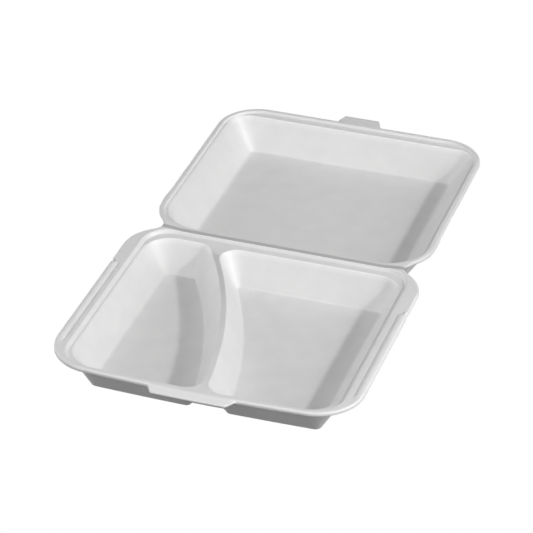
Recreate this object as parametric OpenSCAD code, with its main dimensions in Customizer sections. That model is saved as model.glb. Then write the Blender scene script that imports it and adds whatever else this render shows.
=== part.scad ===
// Foam clamshell container: a two-compartment tray and a lid on one living hinge, lying open.
// One foam sheet, thermoformed and trimmed in one go. It is split only at the hinge crease,
// because the lid swings there. +X runs along the hinge, +Y from the front tab to the lid.

/* [Sheet] */
// Thickness of the foam sheet
foam_t = 2.2; // [1.6:0.1:2.6]
// Outer height of each half, so that both lie flat on the table when open
half_h = 31; // [26:0.5:40]
// Radius of the rounded edge where a wall turns over at the top
edge_r = 1.2; // [0.8:0.1:2]
// Radius where a wall runs into the floor, inside
floor_r = 2.5; // [1.5:0.5:3.5]
// Radius of the foot of a wall, outside
foot_r = 1.2; // [0.8:0.1:3]

/* [Tray rim] */
// Width of the tray across the rim
tray_w = 240; // [220:1:270]
// Depth of the tray from hinge edge to front edge, at the corners
tray_d = 204; // [190:1:230]
// Corner radius of the rim
rim_r = 34; // [28:1:40]
// How far the middle of the front edge bows out
front_bow = 5; // [0:0.5:8]
// Height of the turned-down lip round the rim
lip_h = 3; // [2.6:0.1:5]
// Flat rim width along the two sides
side_flange = 11.5; // [10:0.5:14]
// Flat rim width along the hinge edge
back_flange = 2.5; // [2:0.1:4]
// Flat rim width along the front edge
front_flange = 3; // [2.6:0.1:5]
// Drop from the flat rim to the ledge inside it
step_h = 3; // [2:0.1:4]
// Horizontal run of that drop
step_run = 2.2; // [2:0.1:4]

/* [Compartments] */
// Ledge width along the two sides
ledge_side = 1.8; // [1.4:0.1:4]
// Ledge width along the hinge edge
ledge_back = 6.1; // [2:0.1:10]
// Ledge width along the front edge
ledge_front = 2.8; // [1.4:0.1:6]
// Horizontal run of the side and front walls from edge to floor
wall_run = 15.5; // [12:0.5:20]
// Horizontal run of the walls along the hinge edge
back_run = 13; // [10:0.5:20]
// Horizontal run of the divider's walls from edge to floor
divider_run = 12.5; // [8:0.5:16]
// Width of the divider's ridge
ridge_w = 4.5; // [3.6:0.1:8]
// Sideways place of the divider's back end
divider_back_x = -55; // [-60:1:-30]
// Sideways place of the divider's front end
divider_front_x = 5.5; // [-10:0.5:20]
// How far the divider bulges from a straight line
divider_bulge = 12; // [6:0.5:20]
// Corner radius of the compartments at the outer walls
pocket_r = 22; // [18:1:26]
// Corner radius of the compartments beside the divider
pocket_in_r = 13; // [10:0.5:16]
// Corner radius of the floors at the outer walls
floor_corner_r = 3.5; // [3:0.5:12]
// Corner radius of the floors beside the divider
floor_in_r = 3; // [3:0.5:9]

/* [Side strips] */
// Width of the raised strip that holds the lid's edge
strip_w = 6.1; // [4:0.1:8]
// Height of the strip above the flat rim
strip_h = 1.5; // [0.8:0.1:2.5]
// Front end of the strips, measured from the hinge edge
strip_front = 178; // [160:1:182]
// Back end of the strips, measured from the hinge edge
strip_back = 62; // [50:1:90]
// Length of the ramp at each end of a strip
strip_ramp = 3; // [1:0.5:8]
// Depth of the groove at the strip's foot
groove_h = 0.7; // [0.3:0.1:1.2]

/* [Front tab of the tray] */
// Width of the tab at its root
tray_tab_root = 70; // [50:1:90]
// Width of the tab at its tip
tray_tab_tip = 57; // [40:1:80]
// How far the tab stands out from the front edge
tray_tab_l = 8; // [5:0.5:14]
// How far the tab slopes down
tray_tab_drop = 0.5; // [0:0.1:4]

/* [Lid] */
// Clearance between the lid's edge and the strips when closed
lid_fit = 0.4; // [0.3:0.1:1]
// Depth of the lid from the hinge to its far edge
lid_d = 205; // [190:1:206]
// Corner radius of the lid's rim
lid_r = 35; // [30:1:40]
// Height of the turned-down lip round the lid
lid_lip_h = 2.8; // [2.6:0.1:4]
// Flat rim width along the lid's sides and far edge
lid_flange = 4; // [3:0.1:6]
// Flat rim width along the lid's hinge edge
lid_near_flange = 3; // [2.6:0.1:5]
// Drop from the lid's flat rim to the ledge inside it
lid_step_h = 2; // [1:0.1:3]
// Horizontal run of that drop
lid_step_run = 1.6; // [1:0.1:3]
// Ledge width along the lid's sides and hinge edge
lid_ledge = 1; // [0.8:0.1:3]
// Ledge width along the lid's far edge
lid_far_ledge = 6.4; // [2:0.1:10]
// Horizontal run of the lid's side walls
lid_side_run = 20; // [12:0.5:26]
// Horizontal run of the lid's far and hinge walls
lid_end_run = 13; // [10:0.5:20]
// Corner radius of the lid's panel
panel_r = 4.5; // [4:0.5:16]
// How far the lid's rim spreads in a shoulder behind each strip's back end
lobe_w = 1.6; // [1:0.1:3]

/* [Tab of the lid] */
// Width of the tab at its root
lid_tab_root = 39; // [30:1:60]
// Width of the tab at its tip
lid_tab_tip = 29.5; // [20:0.5:50]
// How far the tab stands out from the far edge
lid_tab_l = 10; // [6:0.5:14]

/* [Hinge] */
// Length of the hinge crease
hinge_l = 196; // [160:1:198]
// Thickness of the pressed foam beside the crease
hinge_t = 1.2; // [0.8:0.1:1.5]
// How far the crease is pressed below the rims
hinge_drop = 0.4; // [0.2:0.1:0.8]
// Slit left between the two halves at the crease
hinge_gap = 0.4; // [0.3:0.1:0.8]

/* [Hidden] */

corner_steps = 8;
side_steps = 6;
fillet_steps = 5;
edge_steps = 3;
skin = 0.02;
corner_fn = 32;
// Shares that place a sub-part on its neighbour
crest_share = 1 / 3;
ramp_share = 1 / 3;
slope_share = 1 / 3;
reach_share = 0.88;
groove_shift = 1.5;
lobe_slope = 2;

// The tray is drawn with its hinge edge on y = 0 and its rim on z = 0, then set in place.
half_w = tray_w / 2;
tray_front = -tray_d;
step_x = half_w - side_flange;
step_back = -back_flange;
step_front = tray_front + front_flange;
ledge_x = step_x - step_run;
ledge_y_back = step_back - step_run;
ledge_y_front = step_front + step_run;
pocket_x = ledge_x - ledge_side;
pocket_back = ledge_y_back - ledge_back;
pocket_front = ledge_y_front + ledge_front;
pocket_depth = half_h - foam_t - step_h;

// The divider follows a circle through its two ends, with its centre on the left.
divider_a = [divider_back_x, pocket_back];
divider_b = [divider_front_x, pocket_front];
divider_chord = norm(divider_b - divider_a);
divider_r = (pow(divider_chord / 2, 2) + pow(divider_bulge, 2)) / (2 * divider_bulge);
divider_side = [divider_b.y - divider_a.y, divider_a.x - divider_b.x] / divider_chord;
divider_c = (divider_a + divider_b) / 2 + divider_side * (divider_r - divider_bulge);

// The lid closes inside the strips, and its slit edge starts behind the crease.
strip_foot = half_w - strip_w;
lid_half_w = strip_foot - lid_fit;
lid_near = hinge_gap;
lid_far = lid_near + lid_d;
lid_step_x = lid_half_w - lid_flange;
lid_step_near = lid_near + lid_near_flange;
lid_step_far = lid_far - lid_flange;
lid_in_x = lid_step_x - lid_step_run - lid_ledge;
lid_in_near = lid_step_near + lid_step_run + lid_ledge;
lid_in_far = lid_step_far - lid_step_run - lid_far_ledge;
lid_depth = half_h - foam_t - lid_step_h;
lobe_r = lid_flange;
lobe_end = strip_back - lid_fit;
hinge_reach = reach_share * min(back_flange, lid_near_flange);

// The part stands on the table with the middle of its open length over the origin.
open_front = tray_front - front_bow - tray_tab_l;
open_back = lid_far + lid_tab_l;
place = [0, -(open_front + open_back) / 2, half_h];

function arc(c, r, a0, a1, n = corner_steps) =
    [for (i = [0:n]) let (a = a0 + (a1 - a0) * i / n) c + r * [cos(a), sin(a)]];

// Middle of a ring: a row of ones times the ring adds up its points
function mean(ring) = [for (p = ring) 1] * ring / len(ring);

// A rectangle with round corners, anticlockwise, with its front side in n pieces
function round_rect(x, y_front, y_back, r, n) = concat(
    arc([x - r, y_back - r], r, 0, 90),
    arc([r - x, y_back - r], r, 90, 180),
    arc([r - x, y_front + r], r, 180, 270),
    [for (i = [1:1:n - 1]) [(x - r) * (2 * i / n - 1), y_front]],
    arc([x - r, y_front + r], r, 270, 360));

// The tray's front edge bows out, and less so further back
function bowed(p) = [p.x, p.y - front_bow * (1 - pow(p.x / half_w, 2)) * pow(-p.y / tray_d, 4)];

function at_height(ring, z) = [for (p = ring) [p.x, p.y, z]];

function bow_ring(ring) = [for (p = ring) bowed(p)];

// Place along x of a corner's centre at height y, at a distance d from the divider's centre
function beside_divider(y, d) = divider_c.x + sqrt(d * d - pow(y - divider_c.y, 2));

function angle_from_divider(p) = atan2(p.y - divider_c.y, p.x - divider_c.x);

function front_points(x0, x1, y) = [for (i = [1:side_steps - 1]) [x0 + (x1 - x0) * i / side_steps, y]];

function drop_ends(list) = [for (i = [1:len(list) - 2]) list[i]];

// Outline of a compartment at a share s of the way from its top edge to its floor
function pocket_ring(side, s) =
    let (
        x = pocket_x - wall_run * s,
        back = pocket_back - back_run * s,
        front = pocket_front + wall_run * s,
        r = max(edge_r, pocket_r + (floor_corner_r - pocket_r) * s),
        q = max(edge_r, pocket_in_r + (floor_in_r - pocket_in_r) * s),
        d = divider_r + side * (ridge_w / 2 + divider_run * s),
        b = [beside_divider(back - q, d + side * q), back - q],
        f = [beside_divider(front + q, d + side * q), front + q],
        ab = angle_from_divider(b),
        af = angle_from_divider(f)
    )
    bow_ring(side < 0
        ? concat(
            arc([r - x, back - r], r, 90, 180),
            arc([r - x, front + r], r, 180, 270),
            front_points(r - x, f.x, front),
            arc(f, q, 270, 360 + af),
            drop_ends(arc(divider_c, d, af, ab, side_steps)),
            arc(b, q, ab, 90))
        : concat(
            arc([x - r, back - r], r, 0, 90),
            arc(b, q, 90, 180 + ab),
            drop_ends(arc(divider_c, d, ab, af, side_steps)),
            arc(f, q, 180 + af, 270),
            front_points(f.x, x - r, front),
            arc([x - r, front + r], r, 270, 360)));

// Outline of the lid's hollow at a share s of the way from its top edge to its panel
function lid_ring(s) =
    let (
        r = max(edge_r, lid_r - lid_flange + (panel_r - lid_r + lid_flange) * s),
        end = lid_end_run * s
    )
    round_rect(lid_in_x - lid_side_run * s, lid_in_near + end, lid_in_far - end, r, 1);

// Foot of a formed wall as [run, z] pairs, from the floor up into the slope
function wall_foot(run, depth, top, r) =
    let (slope = atan(depth / run), c = [run + r * tan(slope / 2), top - depth + r])
    [for (i = [0:fillet_steps]) let (a = slope * i / fillet_steps) c - r * [sin(a), cos(a)]];

// Inside of a wall: its foot, the round edge at the top, and on up to the rim
function wall_inside(run, depth, top) =
    let (slope = atan(depth / run), c = [-edge_r * tan(slope / 2), top - edge_r])
    concat(
        wall_foot(run, depth, top, floor_r),
        [for (i = [0:edge_steps]) let (a = slope * (1 - i / edge_steps)) c + edge_r * [sin(a), cos(a)]],
        [[c[0], 0]]);

// Outside of a wall, one sheet further out and down: its foot, and straight on up into the ledge
function wall_outside(run, depth, top) =
    let (
        out = -foam_t * [tan(atan(depth / run) / 2), 1],
        foot = [for (p = wall_foot(run, depth, top, foot_r)) p + out],
        last = foot[fillet_steps],
        z = top - foam_t / 2
    )
    concat(foot, [[last[0] - (z - last[1]) * run / depth, z]]);

// A closed solid through rings of equal length, listed from the lowest up
module loft(rings) {
    n = len(rings[0]);
    m = len(rings);
    points = concat([for (ring = rings) each ring], [mean(rings[0]), mean(rings[m - 1])]);
    sides = [for (j = [0:m - 2]) for (i = [0:n - 1])
        let (a = j * n + i, b = j * n + (i + 1) % n)
        each [[a, a + n, b + n], [a, b + n, b]]];
    floors = [for (i = [0:n - 1]) [n * m, i, (i + 1) % n]];
    roofs = [for (i = [0:n - 1]) [n * m + 1, (m - 1) * n + (i + 1) % n, (m - 1) * n + i]];
    polyhedron(points, concat(sides, floors, roofs));
}

// Rim with a round outer edge and a turned-down lip, still full underneath
module rim_block(x, front, back, r, lip, bow) {
    section = concat([[0, -lip]], [for (i = [0:edge_steps]) let (a = 90 * i / edge_steps)
        edge_r * [1 - cos(a), sin(a) - 1]]);
    loft([for (p = section) rim_outline(x, front, back, r, p[0], p[1], bow)]);
}

function rim_outline(x, front, back, r, inset, z, bow) =
    let (ring = round_rect(x - inset, front + inset, back - inset, r - inset, bow ? side_steps : 1))
    at_height(bow ? bow_ring(ring) : ring, z);

// The hollow under the rim, inside the lip
module rim_hollow(x, front, back, r, lip, bow) {
    loft([for (z = [-2 * lip, -foam_t]) rim_outline(x, front, back, r, foam_t, z, bow)]);
}

// The stepped seat inside the rim, from its ledge up past the rim
module seat(x, front, back, r, drop, run, grow, top, bow) {
    loft([for (p = [[run, -drop], [0, 0], [0, top]])
        rim_outline(x + grow, front - grow, back + grow, r + grow, p[0], p[1] - grow, bow)]);
}

module tray_seat(grow, top) {
    seat(step_x, step_front, step_back, rim_r - side_flange, step_h, step_run, grow, top, true);
}

module lid_seat(grow, top) {
    r = lid_r - lid_flange;
    seat(lid_step_x, lid_step_near, lid_step_far, r, lid_step_h, lid_step_run, grow, top, false);
}

module tray_pocket(side, section) {
    loft([for (p = section) at_height(pocket_ring(side, p[0] / wall_run), p[1])]);
}

module lid_pan(section) {
    loft([for (p = section) at_height(lid_ring(p[0] / lid_end_run), p[1])]);
}

// A flat bar across the tab at one station, with round ends
module tab_bar(width, y, z, r) {
    for (side = [-1, 1])
        translate([side * (width / 2 - r), y, z - foam_t]) cylinder(r = r, h = foam_t, $fn = corner_fn);
}

// A tab through four bars: inside the rim, at its root, where it starts to narrow and at its tip
module tab(root, tip, y_in, y_root, y_tip, drop) {
    rise = -edge_r * crest_share;
    middle = [(root + tip) / 2, (y_root + y_tip) / 2, drop * slope_share];
    stations = [[root, y_in, 0], [root, y_root, 0], middle, [tip, y_tip, drop]];
    for (i = [0:2]) hull() {
        for (k = [i, i + 1]) tab_bar(stations[k][0], stations[k][1], rise - stations[k][2], foam_t);
    }
}

// Cross-section of a side strip at one station along y
module strip_slice(y, height) {
    crest = strip_w * crest_share;
    edge = half_w - edge_r * crest_share;
    translate([0, y, 0]) rotate([90, 0, 0]) linear_extrude(skin)
        polygon([[strip_foot, -foam_t / 2], [strip_foot, 0], [strip_foot + crest / 2, height],
            [strip_foot + 2 * crest, height], [edge, 0], [edge, -foam_t / 2]]);
}

module side_strip() {
    stations = [[-strip_back, 0], [-strip_back - strip_ramp * ramp_share, strip_h],
        [strip_ramp - strip_front, strip_h], [-strip_front, 0]];
    for (i = [0:2]) hull() {
        for (k = [i, i + 1]) strip_slice(stations[k][0], stations[k][1] + skin);
    }
}

// The groove that the lid's edge drops beside
module strip_groove() {
    length = strip_front - strip_back - 2 * strip_ramp;
    translate([strip_foot - groove_shift * groove_h, strip_ramp - strip_front, 0]) hull() {
        translate([-groove_h, 0, 0]) cube([2 * groove_h, length, skin]);
        translate([0, groove_h, -groove_h]) cube([skin, length - 2 * groove_h, skin]);
    }
}

// Strip of foam that runs out to the crease, pressed thinner and a little narrower there
module hinge_strip(y_root, y_crease) {
    y_neck = y_crease + (y_root - y_crease) * slope_share;
    low = hinge_drop + hinge_t;
    stations = [[hinge_l / 2 + hinge_t, y_root, hinge_drop / 2, foam_t - skin],
        [hinge_l / 2, y_neck, hinge_drop, low], [hinge_l / 2 - hinge_t, y_crease, hinge_drop, low]];
    for (i = [0:1]) hull() {
        for (k = [i, i + 1]) hinge_bar(stations[k][0], stations[k][1], stations[k][2], stations[k][3]);
    }
}

module hinge_bar(half, y, high, low) {
    translate([-half, y - skin / 2, -low]) cube([2 * half, skin, low - high]);
}

module base_tray() color("whitesmoke") translate(place) difference() {
    union() {
        difference() {
            rim_block(half_w, tray_front, 0, rim_r, lip_h, true);
            rim_hollow(half_w, tray_front, 0, rim_r, lip_h, true);
        }
        tray_seat(foam_t, foam_t - edge_r / 2);
        for (side = [-1, 1]) tray_pocket(side, wall_outside(wall_run, pocket_depth, -step_h));
        side_strip();
        mirror([1, 0, 0]) side_strip();
        hinge_strip(-hinge_reach, -skin / 2);
        tab(tray_tab_root, tray_tab_tip, step_front - front_flange / 2 - foam_t,
            tray_front - front_bow + foam_t / 2, open_front + foam_t, tray_tab_drop);
    }
    tray_seat(0, strip_h + foam_t);
    for (side = [-1, 1]) tray_pocket(side, wall_inside(wall_run, pocket_depth, -step_h));
    strip_groove();
    mirror([1, 0, 0]) strip_groove();
}

// A shoulder of the rim that ends behind the strip when the lid is shut
module lid_lobe() {
    inside = lid_half_w - lobe_r - edge_r / 2;
    near = [inside, lid_near + lid_r, lobe_r];
    end = [lid_half_w + lobe_w - lobe_r, lobe_end - lobe_slope * lobe_w, lobe_r];
    rest = [inside, lobe_end, lobe_r];
    for (pair = [[near, end], [end, rest]]) hull() {
        for (p = pair) translate([p[0], p[1], skin - lid_lip_h])
            cylinder(r = p[2], h = lid_lip_h - edge_r / 2, $fn = 2 * corner_fn);
    }
}

module lid() color("white") translate(place) difference() {
    union() {
        difference() {
            rim_block(lid_half_w, lid_near, lid_far, lid_r, lid_lip_h, false);
            rim_hollow(lid_half_w, lid_near, lid_far, lid_r, lid_lip_h, false);
        }
        lid_lobe();
        mirror([1, 0, 0]) lid_lobe();
        lid_seat(foam_t, foam_t - edge_r / 2);
        lid_pan(wall_outside(lid_end_run, lid_depth, -lid_step_h));
        hinge_strip(lid_near + hinge_reach, lid_near + skin / 2);
        tab(lid_tab_root, lid_tab_tip, lid_far - lid_flange, lid_far, open_back - foam_t, 0);
    }
    lid_seat(0, foam_t);
    lid_pan(wall_inside(lid_end_run, lid_depth, -lid_step_h));
}

base_tray();
lid();
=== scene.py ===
import math

import bmesh
import bpy
import numpy as np
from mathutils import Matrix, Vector


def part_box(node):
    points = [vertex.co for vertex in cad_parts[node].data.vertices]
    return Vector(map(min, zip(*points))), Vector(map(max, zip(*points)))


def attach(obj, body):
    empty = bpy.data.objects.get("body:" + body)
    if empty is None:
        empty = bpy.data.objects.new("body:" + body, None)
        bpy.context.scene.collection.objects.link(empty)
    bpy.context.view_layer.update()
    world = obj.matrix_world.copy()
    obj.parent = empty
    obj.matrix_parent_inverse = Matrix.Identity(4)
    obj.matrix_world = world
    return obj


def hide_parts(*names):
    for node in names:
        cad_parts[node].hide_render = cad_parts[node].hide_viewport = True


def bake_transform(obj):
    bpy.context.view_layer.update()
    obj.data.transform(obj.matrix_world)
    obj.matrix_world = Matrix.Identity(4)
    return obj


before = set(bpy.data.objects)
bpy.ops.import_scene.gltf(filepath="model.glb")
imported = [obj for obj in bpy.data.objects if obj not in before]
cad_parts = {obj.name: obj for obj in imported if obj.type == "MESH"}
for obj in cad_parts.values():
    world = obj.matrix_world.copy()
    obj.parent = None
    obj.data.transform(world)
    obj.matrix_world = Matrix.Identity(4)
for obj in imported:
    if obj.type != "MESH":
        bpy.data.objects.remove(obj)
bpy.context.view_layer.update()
mm = 0.001
print("frame loaded:", ", ".join(sorted(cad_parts)))

trayLow, trayHigh = (np.array(p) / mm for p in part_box("base_tray"))
lidLow, lidHigh = (np.array(p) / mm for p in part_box("lid"))

sheet = {  # what both halves share, in millimetres
    "thick": 2.2,
    "edgeR": 1.5,  # rounded top edges, as seen from above
    "rollR": 1.7,  # rounded outer edge of the rims
    "floorR": 2.5,  # foot of the walls, inside
    "footR": 1.2,  # and outside
    "ledgeRun": 0.2,  # flat run before a wall's bent edge
    "floorRun": 0.4,  # and after its foot
    "bendRows": 7,
    "wallRows": 6,
    "footRows": 8,
    "rollRows": 6,
    "lipRows": 3,
    "lipIn": (1.5, 1.9, 2.1, 2.4),  # insets of the lip's inner face, from its foot up
    "lipRound": (0.3, 0.2),  # rise at its foot, drop at its root
    "halfW": trayHigh[0],
    "rimZ": lidHigh[2],
    "creaseY": (trayHigh[1] + lidLow[1]) / 2,
    "rimDip": 1.2,  # both rims are pressed down along the hinge
    "creaseDip": 1.5,  # and the crease lies lower still
    "dipEnds": (80.0, 99.0),  # where the press fades out
    "hingeHalf": 101.0,
    "hingeFade": 6.0,  # the web ends in a concave notch this long
    "hingeReach": 17.0,  # points this near a half's end belong to the hinge
    "creaseInset": 0.05,  # a rim's edge stops this far short of its half's end
    "edgeDrop": 0.3,  # fall of the edge's last rows at the crease
    "creaseThick": 1.2,
    "tabSharp": 4.0,  # how soon a tab's sides are fully drawn out
    "bendHighlight": (0, 0, 0.4, 0.9, 1, 1, 0.8, 0.4),  # painted highlight across a bend
    "highlightReach": 14.0,
    "highlightFade": 8.0,
}


# shapes of curves

def smooth(t):
    t = np.clip(t, 0, 1)
    return t * t * (3 - 2 * t)


def arc(centre, r, a0, a1, n):
    a = np.radians(np.linspace(a0, a1, n))
    return np.stack([centre[0] + r * np.cos(a), centre[1] + r * np.sin(a)], 1)


def along(p, q, n):  # points between two ends, without the ends
    t = np.linspace(0, 1, n + 2)[1:-1, None]
    return np.asarray(p) * (1 - t) + np.asarray(q) * t


def roundRect(x, front, back, r, counts, backR=None):  # anticlockwise from the right side
    turn, backN, sideN, frontN = counts
    b = r if backR is None else backR
    return np.concatenate([
        arc((x - b, back - b), b, 0, 90, turn),
        along((x - b, back), (b - x, back), backN),
        arc((b - x, back - b), b, 90, 180, turn),
        along((-x, back - b), (-x, front + r), sideN),
        arc((r - x, front + r), r, 180, 270, turn),
        along((r - x, front), (x - r, front), frontN),
        arc((x - r, front + r), r, 270, 360, turn),
        along((x, front + r), (x, back - b), sideN),
    ])


def withHeight(ring, z):
    return np.column_stack([ring, np.full(len(ring), z)])


def wallFoot(run, depth, top, r):  # round foot of a wall, down to the floor
    slope = math.atan2(depth, run)
    c = (run + r * math.tan(slope / 2), top - depth + r)
    turns = np.linspace(slope, 0, sheet["footRows"])
    rows = [(c[0] - r * math.sin(a), c[1] - r * math.cos(a)) for a in turns]
    return rows + [(c[0] + sheet["floorRun"], top - depth)]


def joinRows(head, foot):  # straight wall between its edge and its foot
    steps = np.linspace(0, 1, sheet["wallRows"] + 2)[1:-1]
    rows = [tuple(np.array(head[-1]) * (1 - t) + np.array(foot[0]) * t) for t in steps]
    return head + rows + foot


def wallInside(run, depth, top):  # run and height, from the ledge down to the floor
    slope = math.atan2(depth, run)
    r = sheet["edgeR"]
    c = (-r * math.tan(slope / 2), top - r)
    head = [(c[0] - sheet["ledgeRun"], top)]
    turns = np.linspace(0, slope, sheet["bendRows"])
    head += [(c[0] + r * math.sin(a), c[1] + r * math.cos(a)) for a in turns]
    return joinRows(head, wallFoot(run, depth, top, sheet["floorR"]))


def wallOutside(run, depth, top):  # the same wall from below, one sheet further out
    out = sheet["thick"] * math.tan(math.atan2(depth, run) / 2)
    foot = [(x - out, z - sheet["thick"]) for x, z in wallFoot(run, depth, top, sheet["footR"])]
    return joinRows([(-out, top - sheet["thick"])], foot)


# meshes

class SheetMaker:  # joins the rings of a formed sheet, its top and its underside
    def __init__(self, name):
        self.name = name
        self.bm = bmesh.new()
        # per-vertex share of painted highlight and painted shade
        self.painted_light = self.bm.verts.layers.float.new("painted_light")

    def ring(self, points):  # a loop that is made already is taken as it is
        return points if isinstance(points, list) else [self.bm.verts.new(p) for p in points]

    def paintLight(self, loop, shares):  # painted highlight above 0, painted shade below 0
        for v, share in zip(loop, shares):
            v[self.painted_light] = share

    def skin(self, rings):
        loops = [self.ring(r) for r in rings]
        for low, high in zip(loops, loops[1:]):
            n = len(low)
            for i in range(n):
                k = (i + 1) % n
                self.bm.faces.new((low[i], low[k], high[k], high[i]))
        return loops

    def cap(self, loop):
        self.bm.faces.new(loop)

    def fillBetween(self, loops):
        edges = []
        for loop in loops:
            for i, v in enumerate(loop):
                edges.append(self.bm.edges.get((v, loop[(i + 1) % len(loop)])))
        bmesh.ops.triangle_fill(self.bm, edges=edges, use_beauty=True)

    def finish(self, place):
        bmesh.ops.recalc_face_normals(self.bm, faces=self.bm.faces)
        for v in self.bm.verts:
            v.co = (v.co + Vector(place)) * mm
        mesh = bpy.data.meshes.new(self.name)
        self.bm.to_mesh(mesh)
        self.bm.free()
        mesh.shade_smooth()
        piece = bpy.data.objects.new(self.name, mesh)
        bpy.context.scene.collection.objects.link(piece)
        return piece


def applyModifiers(piece):
    bpy.context.view_layer.update()
    graph = bpy.context.evaluated_depsgraph_get()
    mesh = bpy.data.meshes.new_from_object(piece.evaluated_get(graph))
    piece.modifiers.clear()
    piece.data = mesh


def thicken(piece, thick):
    solid = piece.modifiers.new("thickness", "SOLIDIFY")
    solid.thickness = thick * mm
    solid.offset = -1
    applyModifiers(piece)


# rims, which both halves make the same way

def hingeShare(x):  # 1 along the hinge, fading to 0 past its ends
    return 1 - smooth((np.abs(x) - sheet["hingeHalf"] + sheet["hingeFade"] / 2) / sheet["hingeFade"])


def dipShare(x):
    start, end = sheet["dipEnds"]
    return 1 - smooth((np.abs(x) - start) / (end - start))


def nearHinge(ring):
    return np.abs(ring[:, 1]) < sheet["hingeReach"]


def stepAndFlat(half, stepRing, outer):  # the step up from the ledge, and the flat rim
    step = []
    for t in np.linspace(0, 1, half["stepRows"]):
        e = (t - 1) * half["stepSpan"] + half["stepOver"]
        ring = stepRing(e, -half["stepH"] * (1 - smooth(t)))
        ring[:, 2] -= nearHinge(ring) * dipShare(ring[:, 0]) * sheet["rimDip"] * smooth(t)
        step.append(ring)
    inner = stepRing(half["stepOver"], 0)
    flat = [inner * (1 - t) + outer * t for t in np.linspace(0, 1, half["flatRows"])[1:]]
    return step, flat


def rolledEdge(half, edgeRing):  # the round outer edge and the lip below it
    r = sheet["rollR"]
    turns = np.radians(np.linspace(0, 90, sheet["rollRows"] + 1)[1:])
    rows = [edgeRing(r * (1 - math.sin(a)), -r * (1 - math.cos(a))) for a in turns]
    return rows + [edgeRing(0, z) for z in np.linspace(-r, -half["lipH"], sheet["lipRows"] + 1)[1:]]


def lipInside(half, edgeRing):  # the lip from below, back up to the rim's underside
    foot, root = sheet["lipRound"]
    heights = (-half["lipH"], -half["lipH"] + foot, -sheet["thick"] - root, -sheet["thick"])
    return [edgeRing(inset, z) for inset, z in zip(sheet["lipIn"], heights)]


def edgeShare(j, flat, roll):  # 0 to 1 from the step's top to the end of the round edge
    return min(1, (j - flat + 1) / (roll + sheet["rollRows"] - 1 - flat))


def lastRowsDrop(j, roll):  # keeps the edge's last rows apart at the crease
    return sheet["edgeDrop"] * max(0, j - roll - sheet["rollRows"] + 2) / (sheet["lipRows"] + 1)


def crease(ring, k, drop, y):  # brings a rim's edge down and out to the crease
    share = nearHinge(ring) * hingeShare(ring[:, 0])
    dip = sheet["rimDip"] + (sheet["creaseDip"] - sheet["rimDip"]) * smooth(k)
    ring[:, 2] += share * (-dip * dipShare(ring[:, 0]) - drop - ring[:, 2])
    ring[:, 1] += share * k ** 2 * (y - ring[:, 1])


def tabShare(half, x):
    return np.clip((half["tabRoot"] / 2 - np.abs(x)) / ((half["tabRoot"] - half["tabTip"]) / 2), 0, 1)


def tabOut(ring, edge, share, q, reach, z):  # draws a rim's edge out into the tab, q from root to tip
    full = np.minimum(1, share * sheet["tabSharp"])
    ring[:, 1] += full * (edge[:, 1] - ring[:, 1]) + share * q * reach
    ring[:, 2] += full * (z - ring[:, 2])


def tabTop(half, q):
    return -half["tabDip"] * smooth(q * half["tabBend"]) - half["tabDrop"] * q


def tabUnder(half, q):
    return -half["tabDip"] - half["tabDrop"] * q - sheet["thick"]


# the tray

tray = {
    "bow": 5.0,
    "cornerR": 34.0,
    "lipH": 3.0,
    "sideFlange": 11.5,
    "backFlange": 2.5,
    "frontFlange": 3.0,
    "stepH": 3.0,
    "stepRun": 2.2,
    "stepSpan": 2.8,  # the step with its rounded ends
    "stepOver": 0.3,  # how far that passes the step's line
    "stepRows": 12,
    "flatRows": 18,
    "ledgeSide": 1.8,
    "ledgeBack": 6.1,
    "ledgeFront": 2.8,
    "wallRun": 15.5,
    "backRun": 13.0,
    "dividerRun": 12.5,
    "ridge": 4.5,
    "dividerBack": -55.0,
    "dividerFront": 5.5,
    "dividerBulge": 12.0,
    "pocketR": (22.0, 3.5),  # outer corners, at the edge and at the floor
    "insideR": (13.0, 3.0),  # corners beside the divider
    "pocketCounts": {"corner": 16, "side": 24, "front": 30, "divider": 42, "backLeft": 20, "backRight": 24},
    "stripFoot": 113.9,
    "stripInset": 0.4,
    "stripH": 1.5,
    "stripFull": 0.7,  # below 1 the crest is fuller than a sine
    "stripBack": -62.0,
    "stripFront": -178.0,
    "stripRamps": (1.6, 5.0),  # at the back and at the front
    "grooveH": 0.7,
    "grooveW": 0.7,
    "grooveIn": 0.9,
    "tabL": 8.0,
    "tabRoot": 70.0,
    "tabTip": 57.0,
    "tabDip": 0.4,
    "tabBend": 3.0,  # the dip is full this many times sooner than the tip
    "tabDrop": 0.5,
    "notchW": 1.3,  # small cut in the edge behind each strip
    "notchL": 1.6,
    "crestShadeByRow": (0.7, 0.7, 0.4, 0.1, 0, 0, 0, 0),  # painted shade across the divider's crest
    "crestShadeFade": (1.4, 2.0, 0.3),  # start, slope and what is left at the front
    # painted highlight along the front lip
    "lipHighlight": 0.7,
    "crestHighlightRows": (9, 14),  # rows of the rim with a painted highlight along the hinge
    "counts": (20, 80, 140, 150),
}
tray["depth"] = trayHigh[1] - trayLow[1] - tray["bow"] - tray["tabL"]
stepX = sheet["halfW"] - tray["sideFlange"]
stepBack = -tray["backFlange"]
stepFront = tray["frontFlange"] - tray["depth"]
ledgeX = stepX - tray["stepRun"]
pocketX = ledgeX - tray["ledgeSide"]
pocketBack = stepBack - tray["stepRun"] - tray["ledgeBack"]
pocketFront = stepFront + tray["stepRun"] + tray["ledgeFront"]
pocketDepth = sheet["rimZ"] - sheet["thick"] - tray["stepH"]


def bowed(ring):
    ring = np.array(ring, float)
    share = np.clip(-ring[:, 1] / tray["depth"], 0, None) ** 4
    ring[:, 1] -= tray["bow"] * (1 - (ring[:, 0] / sheet["halfW"]) ** 2) * share
    return ring


def dividerCircle():
    a = np.array([tray["dividerBack"], pocketBack])
    b = np.array([tray["dividerFront"], pocketFront])
    chord = np.linalg.norm(b - a)
    bulge = tray["dividerBulge"]
    r = (chord ** 2 / 4 + bulge ** 2) / (2 * bulge)
    across = np.array([b[1] - a[1], a[0] - b[0]]) / chord
    return (a + b) / 2 + across * (r - bulge), r


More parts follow.
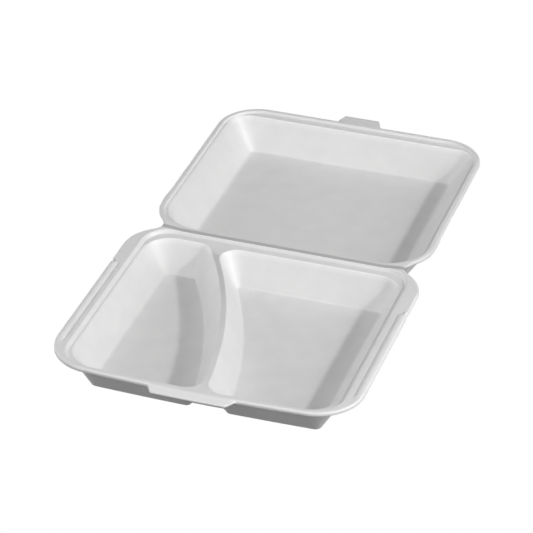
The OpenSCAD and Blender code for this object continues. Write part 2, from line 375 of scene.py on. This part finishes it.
def pocketRing(side, s):  # side is -1 for the left compartment, s runs from its edge to its floor
    c, dividerR = dividerCircle()
    x = pocketX - tray["wallRun"] * s
    back = pocketBack - tray["backRun"] * s
    front = pocketFront + tray["wallRun"] * s
    r = max(1, tray["pocketR"][0] + (tray["pocketR"][1] - tray["pocketR"][0]) * s)
    q = max(1, tray["insideR"][0] + (tray["insideR"][1] - tray["insideR"][0]) * s)
    d = dividerR + side * (tray["ridge"] / 2 + tray["dividerRun"] * s)
    n = tray["pocketCounts"]
    turn = n["corner"]

    def corner(y):
        reach = d + side * q
        px = c[0] + math.sqrt(reach ** 2 - (y - c[1]) ** 2)
        return np.array([px, y]), math.degrees(math.atan2(y - c[1], px - c[0]))

    b, ab = corner(back - q)
    f, af = corner(front + q)
    if side < 0:
        parts = [
            arc((r - x, back - r), r, 90, 180, turn),
            along((-x, back - r), (-x, front + r), n["side"]),
            arc((r - x, front + r), r, 180, 270, turn),
            along((r - x, front), (f[0], front), n["front"]),
            arc(f, q, 270, 360 + af, turn),
            arc(c, d, af, ab, n["divider"])[1:-1],
            arc(b, q, ab, 90, turn),
            along((b[0], back), (r - x, back), n["backLeft"]),
        ]
    else:
        parts = [
            arc((x - r, back - r), r, 0, 90, turn),
            along((x - r, back), (b[0], back), n["backRight"]),
            arc(b, q, 90, 180 + ab, turn),
            arc(c, d, ab, af, n["divider"])[1:-1],
            arc(f, q, 180 + af, 270, turn),
            along((f[0], front), (x - r, front), n["front"]),
            arc((x - r, front + r), r, 270, 360, turn),
            along((x, front + r), (x, back - r), n["side"]),
        ]
    return bowed(np.concatenate(parts))


def crestShadeShare(ring):  # painted shade on the divider's crest, most at the back
    c, r = dividerCircle()
    away = np.abs(np.hypot(ring[:, 0] - c[0], ring[:, 1] - c[1]) - r)
    start, slope, least = tray["crestShadeFade"]
    fade = least + (1 - least) * smooth(start + ring[:, 1] / tray["depth"] * slope)
    return fade * smooth((tray["ridge"] - away) / (tray["ridge"] / 3))


def stripHeight(x, y):  # raised strip along each side, with a groove at its foot
    past = np.abs(x) - tray["stripFoot"]
    across = past / (sheet["halfW"] - tray["stripInset"] - tray["stripFoot"])
    crest = np.clip(np.sin(np.pi * np.clip(across, 0, 1)), 0, 1) ** tray["stripFull"]
    groove = np.exp(-((past + tray["grooveIn"]) / tray["grooveW"]) ** 2)
    backRamp, frontRamp = tray["stripRamps"]
    window = smooth((tray["stripBack"] - y) / backRamp) * smooth((y - tray["stripFront"]) / frontRamp)
    return window * (tray["stripH"] * crest - tray["grooveH"] * groove)


def trayRim():
    rimR, thick = tray["cornerR"], sheet["thick"]
    front = -tray["depth"]

    def stepRing(e, z):
        r = rimR - tray["sideFlange"] + e
        return withHeight(bowed(roundRect(stepX + e, stepFront - e, stepBack + e, r, tray["counts"])), z)

    def edgeRing(inset, z):
        x = sheet["halfW"] - inset
        return withHeight(bowed(roundRect(x, front + inset, -inset, rimR - inset, tray["counts"])), z)

    step, flatRim = stepAndFlat(tray, stepRing, edgeRing(sheet["rollR"], 0))
    flat = len(step)
    roll = flat + len(flatRim)
    top = step + flatRim + rolledEdge(tray, edgeRing)
    root = top[roll - 1].copy()
    share = tabShare(tray, root[:, 0]) * (root[:, 1] < front / 2)
    reach = -tray["tabL"] - sheet["rollR"]
    for j, ring in enumerate(top[flat:], flat):
        ring[:, 2] += stripHeight(ring[:, 0], ring[:, 1])
        if j >= roll - 2:
            notch = np.exp(-((ring[:, 1] - tray["stripBack"] - tray["notchL"]) / tray["notchL"]) ** 2)
            ring[:, 0] -= np.sign(ring[:, 0]) * tray["notchW"] * notch
        crease(ring, edgeShare(j, flat, roll), lastRowsDrop(j, roll), -sheet["creaseInset"])
        if j >= roll:
            q = (j - roll + 1) / (len(top) - roll)
            tabOut(ring, root, share, q, reach, tabTop(tray, q))
    under = lipInside(tray, edgeRing)
    for j, ring in enumerate(under):
        k = 1 - j / len(under)
        crease(ring, k, sheet["creaseThick"], -sheet["creaseInset"])
        tabOut(ring, root, share, k, reach, tabUnder(tray, k))
    under += [stepRing(0, -thick), stepRing(-tray["stepRun"], -tray["stepH"] - thick)]
    return top, under


def makeTray():
    maker = SheetMaker("foam_tray")
    top, under = trayRim()
    topLoops = maker.skin(top)
    underLoops = maker.skin([topLoops[-1]] + under)
    # painted highlight along the rim's crest at the hinge
    first, end = tray["crestHighlightRows"]
    for loop, ring in zip(topLoops[first:end], top[first:end]):
        maker.paintLight(loop, hingeShare(ring[:, 0]) * nearHinge(ring))
    # painted highlight along the front lip
    lip = 1 - sheet["rollRows"] - sheet["lipRows"]
    for loop, ring in zip(topLoops[lip:], top[lip:]):
        maker.paintLight(loop, tray["lipHighlight"] * (ring[:, 1] < -tray["cornerR"]))
    for rimLoop, section in ((topLoops[0], wallInside), (underLoops[-1], wallOutside)):
        edges = [rimLoop]
        rows = section(tray["wallRun"], pocketDepth, -tray["stepH"])
        for side in (-1, 1):
            rings = [withHeight(pocketRing(side, run / tray["wallRun"]), z) for run, z in rows]
            loops = maker.skin(rings)
            if section is wallInside:
                # painted highlight on the pockets' back edges, painted shade on the divider's crest
                for loop, ring, painted_light, crestShade in zip(loops, rings, sheet["bendHighlight"], tray["crestShadeByRow"]):
                    atBack = smooth((ring[:, 1] - pocketBack + sheet["highlightReach"]) / sheet["highlightFade"])
                    maker.paintLight(loop, painted_light * atBack - crestShade * crestShadeShare(ring) * (1 - atBack))
            maker.cap(loops[-1])
            edges.append(loops[0])
        maker.fillBetween(edges)
    return maker.finish((0, trayHigh[1], sheet["rimZ"]))


# the lid

lid = {
    "cornerR": 35.0,
    "halfW": 113.5,
    "lipH": 2.8,
    "flange": 4.0,
    "nearFlange": 3.0,
    "stepH": 2.0,
    "stepRun": 1.6,
    "stepUnder": 1.0,  # run of the step from below, short of the wall's outside
    "stepSpan": 1.4,
    "stepOver": 0.2,
    "stepRows": 10,
    "flatRows": 7,
    "ledge": 1.0,
    "farLedge": 6.4,
    "sideRun": 20.0,
    "endRun": 13.0,
    "panelR": 4.5,
    "panFarR": 17.0,  # the pan's far corners are tighter than the near ones
    "lobeW": 0.8,  # low shoulders, widest at the end of their rise
    "lobe": (16.0, 42.0),
    "lobeFade": 18.0,
    "notch": ((-1, 33.0), (1, 88.0)),  # a small cut in the edge on each side
    "notchW": 0.9,
    "notchL": 1.8,
    "tabL": 10.0,
    "tabRoot": 39.0,
    "tabTip": 29.5,
    "tabDip": 0.5,
    "tabBend": 2.0,
    "tabDrop": 0.0,
    "counts": (20, 110, 150, 80),
}
lid["depth"] = lidHigh[1] - lidLow[1] - lid["tabL"]


def spread(ring, k):  # shoulders and notches of the lid's sides
    y = ring[:, 1]
    middle = lid["halfW"] / 2
    start, end = lid["lobe"]
    rise = np.clip((y - start) / (end - start), 0, 1) * (1 - smooth((y - end) / lid["lobeFade"]))
    ring[:, 0] += np.sign(ring[:, 0]) * (np.abs(ring[:, 0]) > middle) * lid["lobeW"] * k * rise
    for side, place in lid["notch"]:
        cut = np.exp(-((y - place) / lid["notchL"]) ** 2) * (ring[:, 0] * side > middle)
        ring[:, 0] -= side * lid["notchW"] * k ** 4 * cut


def lidRings():
    counts = lid["counts"]
    x, far, r = lid["halfW"], lid["depth"], lid["cornerR"]
    thick = sheet["thick"]
    lidStepX, stepNear, stepFar = x - lid["flange"], lid["nearFlange"], far - lid["flange"]
    stepR = r - lid["flange"]
    depth = sheet["rimZ"] - thick - lid["stepH"]
    edge = lid["stepRun"] + lid["ledge"]
    panX, panNear = lidStepX - edge, stepNear + edge
    panFar = stepFar - lid["stepRun"] - lid["farLedge"]

    def panRing(run, z):  # side walls lean out further than the end walls
        s = run / lid["endRun"]
        side = run if run < 0 else lid["sideRun"] * s
        nearR, farR = (max(1, a + (lid["panelR"] - a) * s) for a in (stepR, lid["panFarR"]))
        return withHeight(roundRect(panX - side, panNear + run, panFar - run, nearR, counts, farR), z)

    def stepRing(e, z):
        return withHeight(roundRect(lidStepX + e, stepNear - e, stepFar + e, stepR + e, counts), z)

    def edgeRing(inset, z):
        return withHeight(roundRect(x - inset, inset, far - inset, r - inset, counts), z)

    pan = [panRing(*row) for row in reversed(wallInside(lid["endRun"], depth, -lid["stepH"]))]
    step, flatRim = stepAndFlat(lid, stepRing, edgeRing(sheet["rollR"], 0))
    flat = len(pan) + len(step)
    roll = flat + len(flatRim)
    top = pan + step + flatRim + rolledEdge(lid, edgeRing)
    root = top[roll - 1].copy()
    share = tabShare(lid, root[:, 0]) * (root[:, 1] > far / 2)
    reach = lid["tabL"] + sheet["rollR"]
    for j, ring in enumerate(top[flat:], flat):
        k = edgeShare(j, flat, roll)
        spread(ring, k)
        crease(ring, k, lastRowsDrop(j, roll), sheet["creaseInset"])
        if j >= roll:
            q = (j - roll + 1) / (len(top) - roll)
            tabOut(ring, root, share, q, reach, tabTop(lid, q))
    under = lipInside(lid, edgeRing)
    for j, ring in enumerate(under):
        k = 1 - j / len(under)
        spread(ring, 1)
        crease(ring, k, sheet["creaseThick"], sheet["creaseInset"])
        tabOut(ring, root, share, k, reach, tabUnder(lid, k))
    under += [stepRing(0, -thick), stepRing(-lid["stepUnder"], -lid["stepH"] - thick)]
    under += [panRing(*row) for row in wallOutside(lid["endRun"], depth, -lid["stepH"])]
    return top, under, len(pan)


def makeLid():
    maker = SheetMaker("foam_lid")
    top, under, panRows = lidRings()
    topLoops = maker.skin(top)
    underLoops = maker.skin([topLoops[-1]] + under)
    # painted highlight along the pan's far edge
    fromEdge = zip(topLoops[:panRows][::-1], top[:panRows][::-1], sheet["bendHighlight"])
    for loop, ring, painted_light in fromEdge:
        atFar = smooth((ring[:, 1] - ring[:, 1].max() + sheet["highlightReach"]) / sheet["highlightFade"])
        maker.paintLight(loop, painted_light * atFar)
    maker.cap(topLoops[0])
    maker.cap(underLoops[-1])
    return maker.finish((0, lidLow[1], sheet["rimZ"]))


# node trees

class Term:  # a socket that takes part in Python expressions
    def __init__(self, tree, socket):
        self.tree = tree
        self.socket = socket

    def join(self, operation, *values):
        return self.tree.add("ShaderNodeMath", {"operation": operation}, dict(enumerate(values)))

    def __add__(self, other):
        return self.join("ADD", self, other)

    def __sub__(self, other):
        return self.join("SUBTRACT", self, other)

    def __rsub__(self, other):
        return self.join("SUBTRACT", other, self)

    def __mul__(self, other):
        return self.join("MULTIPLY", self, other)

    def __truediv__(self, other):
        return self.join("DIVIDE", self, other)

    def __rtruediv__(self, other):
        return self.join("DIVIDE", other, self)

    __radd__ = __add__
    __rmul__ = __mul__


class NodeTree:
    def __init__(self, tree):
        self.tree = tree

    def add(self, kind, settings=None, sockets=None, output=0):  # a tuple of outputs gives a list
        node = self.tree.nodes.new(kind)
        for name, value in (settings or {}).items():
            if name == "stops":
                for element, (position, colour) in zip(node.color_ramp.elements, value):
                    element.position = position
                    element.color = colour
            else:
                setattr(node, name, value)
        for name, value in (sockets or {}).items():
            if isinstance(value, Term):
                self.tree.links.new(value.socket, node.inputs[name])
            else:
                node.inputs[name].default_value = value
        if isinstance(output, tuple):
            return [Term(self, node.outputs[name]) for name in output]
        return Term(self, node.outputs[output]) if len(node.outputs) else node


def newMaterial(name):
    material = bpy.data.materials.new(name)
    material.use_nodes = True
    material.node_tree.nodes.clear()
    return material, NodeTree(material.node_tree)


def grey(level):
    return (level, level, level, 1)


foam = {
    "tone": 0.83,
    "mottle": 0.02,  # faint uneven whiteness of the cells below the skin
    "mottleScale": 60.0,
    "mottleDetail": 3.0,
    "mottleStops": (0.3, 0.7),
    "blueShare": 0.995,
    "cellScale": 900.0,  # fine closed cells, about a millimetre across
    "cellBump": 0.06,
    "cellDepth": 0.4,
    "waveScale": 26.0,
    "waveDetail": 2.0,
    "waveBump": 0.06,
    "waveDepth": 0.6,
    "rough": 0.42,
    "cellRough": (0.4, 0.12),  # middle and share of the cells in the roughness
    "mottleRough": (0.5, 0.1),
    "highlightTone": 1.0,  # painted highlight on tight bends
    "crestShadeTone": 0.55,  # painted shade on the divider's crest
    "creaseShadeTone": 0.5,  # painted shade along the crease
    "creaseShadeReach": (1.2, 3.0),  # full tone and fade, from the crease
}


def toned(t, colour, share, tone):  # foam of another whiteness where share is 1
    return t.add("ShaderNodeMix", {"data_type": "RGBA"}, {0: share, 6: colour, 7: grey(tone)}, 2)


def fadeOut(t, value, start, end):  # 1 up to start, 0 from end on
    return t.add("ShaderNodeMapRange", {"interpolation_type": "SMOOTHSTEP"},
                 {"Value": value, "From Min": start, "From Max": end, "To Min": 1.0, "To Max": 0.0})


def absolute(t, value):
    return t.add("ShaderNodeMath", {"operation": "ABSOLUTE"}, {0: value})


def foamColour(t, place, mottle):
    low, high = foam["tone"] - foam["mottle"], foam["tone"] + foam["mottle"]
    start, end = foam["mottleStops"]
    stops = ((start, grey(low)), (end, (high, high, high * foam["blueShare"], 1)))
    colour = t.add("ShaderNodeValToRGB", {"stops": stops}, {"Fac": mottle})
    y = t.add("ShaderNodeSeparateXYZ", {}, {0: place}, "Y")
    near, far = foam["creaseShadeReach"]
    # painted shade along the crease
    creaseShade = fadeOut(t, absolute(t, y - sheet["creaseY"] * mm), near * mm, far * mm)
    # painted highlight from the positive part of the attribute
    paintedLightShare = t.add("ShaderNodeAttribute", {"attribute_name": "painted_light"}, output="Fac")
    # painted shade on the divider's crest, from the negative part of the attribute
    crestShade = t.add("ShaderNodeMath", {"operation": "MULTIPLY", "use_clamp": True}, {0: paintedLightShare, 1: -1.0})
    colour = toned(t, colour, creaseShade, foam["creaseShadeTone"])
    colour = toned(t, colour, paintedLightShare, foam["highlightTone"])
    return toned(t, colour, crestShade, foam["crestShadeTone"])


def foamMaterial(name):
    material, t = newMaterial(name)
    place = t.add("ShaderNodeTexCoord", output="Object")
    mottle = t.add("ShaderNodeTexNoise", {},
                   {"Vector": place, "Scale": foam["mottleScale"], "Detail": foam["mottleDetail"]})
    cells = t.add("ShaderNodeTexVoronoi", {"feature": "F1"}, {"Vector": place, "Scale": foam["cellScale"]})
    waves = t.add("ShaderNodeTexNoise", {},
                  {"Vector": place, "Scale": foam["waveScale"], "Detail": foam["waveDetail"]})
    cellMiddle, cellShare = foam["cellRough"]
    mottleMiddle, mottleShare = foam["mottleRough"]
    rough = foam["rough"] + (cells - cellMiddle) * cellShare + (mottle - mottleMiddle) * mottleShare
    bumpWave = t.add("ShaderNodeBump", {},
                     {"Strength": foam["waveBump"], "Distance": foam["waveDepth"] * mm, "Height": waves})
    bump = t.add("ShaderNodeBump", {},
                 {"Strength": foam["cellBump"], "Distance": foam["cellDepth"] * mm, "Height": cells,
                  "Normal": bumpWave})
    shader = t.add("ShaderNodeBsdfPrincipled", {},
                   {"Base Color": foamColour(t, place, mottle), "Roughness": rough, "Normal": bump})
    t.add("ShaderNodeOutputMaterial", {}, {"Surface": shader})
    return material


# the hinge web

web = {
    "length": 2 * sheet["hingeHalf"] - 2.0,
    "width": 3.2,
    "dip": 0.25,
    "ripple": 0.1,
    "ripplePitch": 1.1,
    "thick": 0.5,
    "lift": 0.02,  # clear of the rims
    "counts": (120, 17),
}


def webTree(material, names):
    tree = bpy.data.node_groups.new("hingeWeb", "GeometryNodeTree")
    for name in names:
        tree.interface.new_socket(name, in_out="INPUT", socket_type="NodeSocketFloat")
    tree.interface.new_socket("Geometry", in_out="OUTPUT", socket_type="NodeSocketGeometry")
    t = NodeTree(tree)
    given = dict(zip(names, t.add("NodeGroupInput", output=names)))
    grid = t.add("GeometryNodeMeshGrid", {},
                 {"Size X": given["Length"], "Size Y": given["Width"],
                  "Vertices X": web["counts"][0], "Vertices Y": web["counts"][1]})
    position = t.add("GeometryNodeInputPosition")
    x, y = t.add("ShaderNodeSeparateXYZ", {}, {0: position}, ("X", "Y"))
    across = y * 2 / given["Width"]
    turn = y * (2 * math.pi) / given["Pitch"]
    ripple = t.add("ShaderNodeMath", {"operation": "COSINE"}, {0: turn}) * given["Ripple"]
    fade = fadeOut(t, absolute(t, x), given["Fade Start"], given["Fade End"])
    drop = fade * ((1 - across * across) * (ripple - given["Dip"]) - given["Crease"])
    offset = t.add("ShaderNodeCombineXYZ", {}, {"Z": drop})
    moved = t.add("GeometryNodeSetPosition", {}, {"Geometry": grid, "Offset": offset})
    real = t.add("GeometryNodeRealizeInstances", {}, {"Geometry": moved})
    done = t.add("GeometryNodeSetMaterial", {}, {"Geometry": real, "Material": material})
    t.add("NodeGroupOutput", {}, {0: done})
    return tree


def makeWeb(material):
    sizes = {
        "Length": web["length"],
        "Width": web["width"],
        "Crease": sheet["creaseDip"],
        "Fade Start": sheet["dipEnds"][0],
        "Fade End": sheet["dipEnds"][1],
        "Dip": web["dip"],
        "Ripple": web["ripple"],
        "Pitch": web["ripplePitch"],
    }
    piece = bpy.data.objects.new("hinge_web", bpy.data.meshes.new("hinge_web"))
    bpy.context.scene.collection.objects.link(piece)
    modifier = piece.modifiers.new("web", "NODES")
    modifier.node_group = webTree(material, tuple(sizes))
    for item in modifier.node_group.interface.items_tree:
        if item.name in sizes:
            modifier[item.identifier] = sizes[item.name] * mm
    applyModifiers(piece)
    place = Vector((0, sheet["creaseY"] * mm, (sheet["rimZ"] + web["lift"]) * mm))
    for v in piece.data.vertices:
        v.co += place
    piece.data.shade_smooth()
    thicken(piece, web["thick"])
    return piece


trayFoam = foamMaterial("tray_foam")
lidFoam = foamMaterial("lid_foam")
trayPiece = makeTray()
trayPiece.data.materials.append(trayFoam)
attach(trayPiece, "tray")
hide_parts("base_tray")
print("tray:", len(trayPiece.data.polygons), "faces")

lidPiece = makeLid()
lidPiece.data.materials.append(lidFoam)
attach(lidPiece, "lid")
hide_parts("lid")
print("lid:", len(lidPiece.data.polygons), "faces")

webPiece = makeWeb(trayFoam)
webReach = web["width"] / 2
(sheet["creaseY"] - webReach) * mm
sheet["rimZ"] * mm
(sheet["creaseY"] + webReach) * mm
sheet["rimZ"] * mm
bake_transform(webPiece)
print("hinge web:", len(webPiece.data.polygons), "faces")


# stage, light and camera

stage = {
    "floorSize": 12.0,
    "floorZ": -0.0005,  # just clear of the part's underside
    "floorBounce": 0.08,
    "worldLight": 0.02,
    "lampDistance": 1.8,
    "lamps": {  # direction, size, power
        "key": ((0.655, -0.08, 0.505), 0.13, 9.6),
        "right": ((0.85, -0.2, 0.35), 1.2, 14.2),
        "left": ((-0.9, 0.1, 0.3), 1.2, 8.8),
        "top": ((-0.1, -0.6, 0.8), 1.2, 8.2),
        "front": ((-0.35, -0.85, 0.4), 1.2, 5.2),
    },
}


def seenDirectly(t):  # 1 for what the camera sees, also by a reflection
    rays = ("Is Camera Ray", "Is Glossy Ray", "Is Transmission Ray")
    camera, glossy, through = t.add("ShaderNodeLightPath", output=rays)
    return camera + glossy + through


def makeFloor():
    mesh = bpy.data.meshes.new("floor")
    h, z = stage["floorSize"] / 2, stage["floorZ"]
    mesh.from_pydata([(-h, -h, z), (h, -h, z), (h, h, z), (-h, h, z)], [], [(0, 1, 2, 3)])
    floor = bpy.data.objects.new("floor", mesh)
    bpy.context.scene.collection.objects.link(floor)
    material, t = newMaterial("pale_floor")
    bounce = t.add("ShaderNodeBsdfDiffuse", {}, {"Color": grey(stage["floorBounce"])})
    glow = t.add("ShaderNodeEmission", {}, {"Color": grey(1), "Strength": 1.0})
    shader = t.add("ShaderNodeMixShader", {}, {"Fac": seenDirectly(t), 1: bounce, 2: glow})
    t.add("ShaderNodeOutputMaterial", {}, {"Surface": shader})
    mesh.materials.append(material)


def makeWorld():
    world = bpy.data.worlds.new("studio")
    bpy.context.scene.world = world
    world.use_nodes = True
    world.node_tree.nodes.clear()
    t = NodeTree(world.node_tree)
    level = stage["worldLight"] + seenDirectly(t) * (1 - stage["worldLight"])
    sky = t.add("ShaderNodeBackground", {}, {"Color": grey(1), "Strength": level})
    t.add("ShaderNodeOutputWorld", {}, {"Surface": sky})


def makeLamp(name, direction, width, power):
    data = bpy.data.lights.new(name, "AREA")
    data.shape = "DISK"
    data.size = width
    data.energy = power
    lamp = bpy.data.objects.new(name, data)
    way = Vector(direction).normalized()
    lamp.location = way * stage["lampDistance"]
    lamp.rotation_euler = way.to_track_quat("Z", "Y").to_euler()
    bpy.context.scene.collection.objects.link(lamp)


view = {  # the photograph's viewpoint, fitted to the rim's outline
    "azimuth": 19.40,
    "elevation": 33.56,
    "distance": 2079.1,  # from the middle of the tray's rim
    "focal": 2757.5,  # in pixels
    "trayMiddle": -102.7,
    "middlePixel": (238.27, 315.65),
    "pixels": 533,
    "sensor": 36,
}


def makeCamera():
    a, e = math.radians(view["azimuth"]), math.radians(view["elevation"])
    back = Vector((math.sin(a) * math.cos(e), -math.cos(a) * math.cos(e), math.sin(e)))
    right = Vector((math.cos(a), math.sin(a), 0))
    up = back.cross(right)
    half = view["pixels"] / 2
    px, py = view["middlePixel"]
    ahead = -back + right * ((half - px) / view["focal"]) + up * ((py - half) / view["focal"])
    data = bpy.data.cameras.new("camera")
    data.sensor_width = view["sensor"]
    data.lens = view["focal"] / view["pixels"] * view["sensor"]
    camera = bpy.data.objects.new("camera", data)
    camera.location = (Vector((0, view["trayMiddle"], sheet["rimZ"])) + back * view["distance"]) * mm
    camera.rotation_euler = ahead.to_track_quat("-Z", "Y").to_euler()
    bpy.context.scene.collection.objects.link(camera)
    bpy.context.scene.camera = camera


makeFloor()
makeWorld()
for name, (direction, width, power) in stage["lamps"].items():
    makeLamp(name, direction, width, power)
makeCamera()
bpy.context.scene.view_settings.view_transform = "Standard"
print("stage, light and camera are set")
